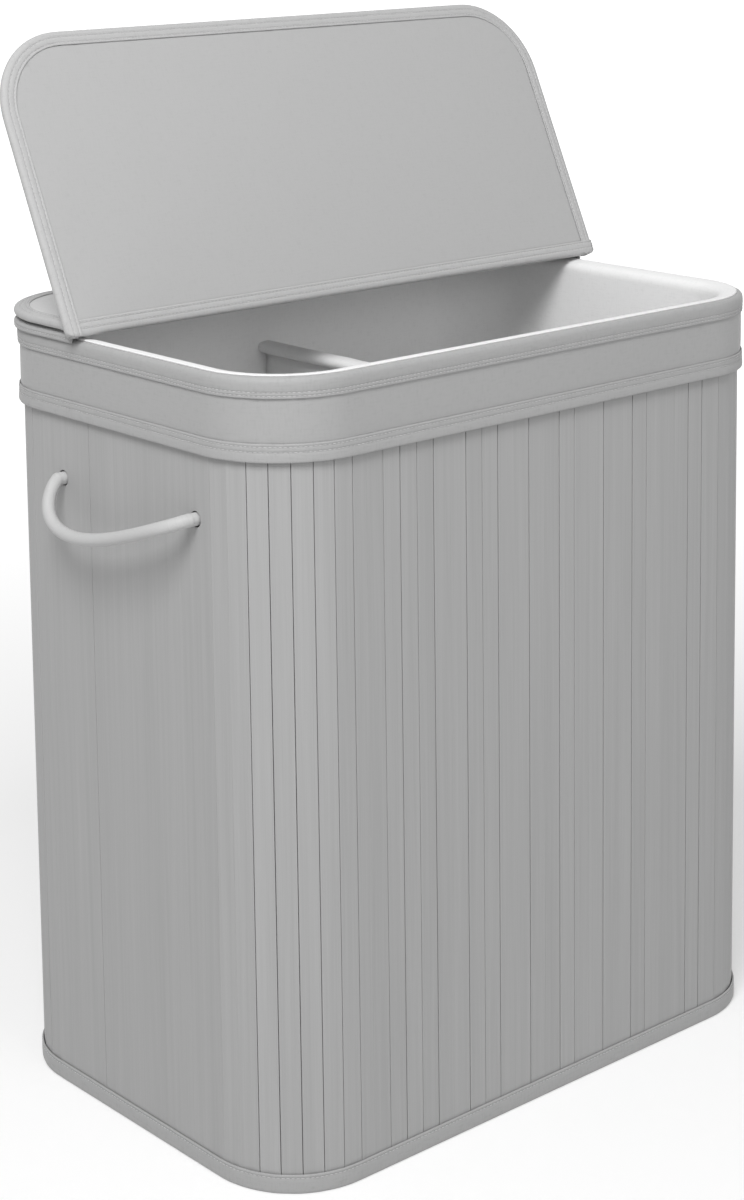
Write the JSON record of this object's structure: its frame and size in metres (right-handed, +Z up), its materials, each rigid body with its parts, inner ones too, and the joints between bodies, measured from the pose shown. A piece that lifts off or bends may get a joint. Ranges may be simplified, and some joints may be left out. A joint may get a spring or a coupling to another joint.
{
  "type": "laundry hamper with divided liner",
  "caption": "Tall slatted laundry hamper with rounded corners, a cloth rim, a hinged cloth-covered lid, a liner bag parted into bins by a bar, and rope handles.",
  "frame": {"origin": "centre of the footprint, on the floor", "axes": "+X along the hamper to the right, seen from the front; +Y from the front wall to the rear wall and the hinge; +Z up"},
  "size_m": [0.583, 0.3572, 0.8201],
  "materials": {
    "painted_slats": "thin wooden slats, matt grey paint over fine lengthwise grain",
    "band_cloth": "plain-woven grey polyester cloth",
    "binding_tape": "folded grey cloth tape with two rows of stitching",
    "lid_lining": "smooth light grey lining cloth",
    "liner_cloth": "thin off-white woven bag cloth",
    "board": "bare fibreboard",
    "rope": "smooth light grey covered rope"
  },
  "bodies": {
    "hamper": {"slat_panel_front": "painted_slats", "slat_panel_rear": "painted_slats", "slat_panel_left": "painted_slats", "slat_panel_right": "painted_slats", "slat_corner_front_left": "painted_slats", "slat_corner_front_right": "painted_slats", "slat_corner_rear_left": "painted_slats", "slat_corner_rear_right": "painted_slats", "rim_band_cover": "band_cloth", "wall_backing_cloth": "band_cloth", "base_cloth": "band_cloth", "rear_strip_top_cloth": "band_cloth", "hinge_cloth": "band_cloth", "base_hem_binding": "binding_tape", "rim_top_binding": "binding_tape", "rim_lower_binding": "binding_tape", "rear_strip_binding": "binding_tape", "lid_fixing_tape": "binding_tape", "liner_tape_front": "binding_tape", "liner_tape_rear": "binding_tape", "liner_tape_left": "binding_tape", "liner_tape_right": "binding_tape", "rear_strip_lining": "lid_lining", "liner_bag": "liner_cloth", "liner_top_hem": "liner_cloth", "divider_sleeve": "liner_cloth", "divider_panel": "liner_cloth", "base_board_left": "board", "base_board_right": "board", "rim_stiffener": "board", "rim_hoop": "board", "divider_bar": "board", "rear_strip_board": "board", "left_rear_rope_end": "rope", "left_front_rope_end": "rope", "right_rear_rope_end": "rope", "right_front_rope_end": "rope"},
    "lid_flap": {"flap_binding": "binding_tape", "flap_board": "board", "flap_top_cloth": "band_cloth", "flap_lining": "lid_lining"},
    "left_handle": {"left_handle_rope": "rope"},
    "right_handle": {"right_handle_rope": "rope"}
  },
  "joints": [
    {"name": "lid_hinge", "type": "hinge", "parent": "hamper", "child": "lid_flap", "pos_m": [0, 0.045, 0.6102], "axis": [1, 0, 0], "range_deg": [0, 115], "deforming": ["hinge_cloth"]},
    {"name": "left_handle_swing", "type": "hinge", "parent": "hamper", "child": "left_handle", "pos_m": [-0.26617, -0.008, 0.495], "axis": [0, 1, 0], "range_deg": [0, 95]},
    {"name": "right_handle_swing", "type": "hinge", "parent": "hamper", "child": "right_handle", "pos_m": [0.26617, -0.008, 0.495], "axis": [0, -1, 0], "range_deg": [0, 95]}
  ]
}
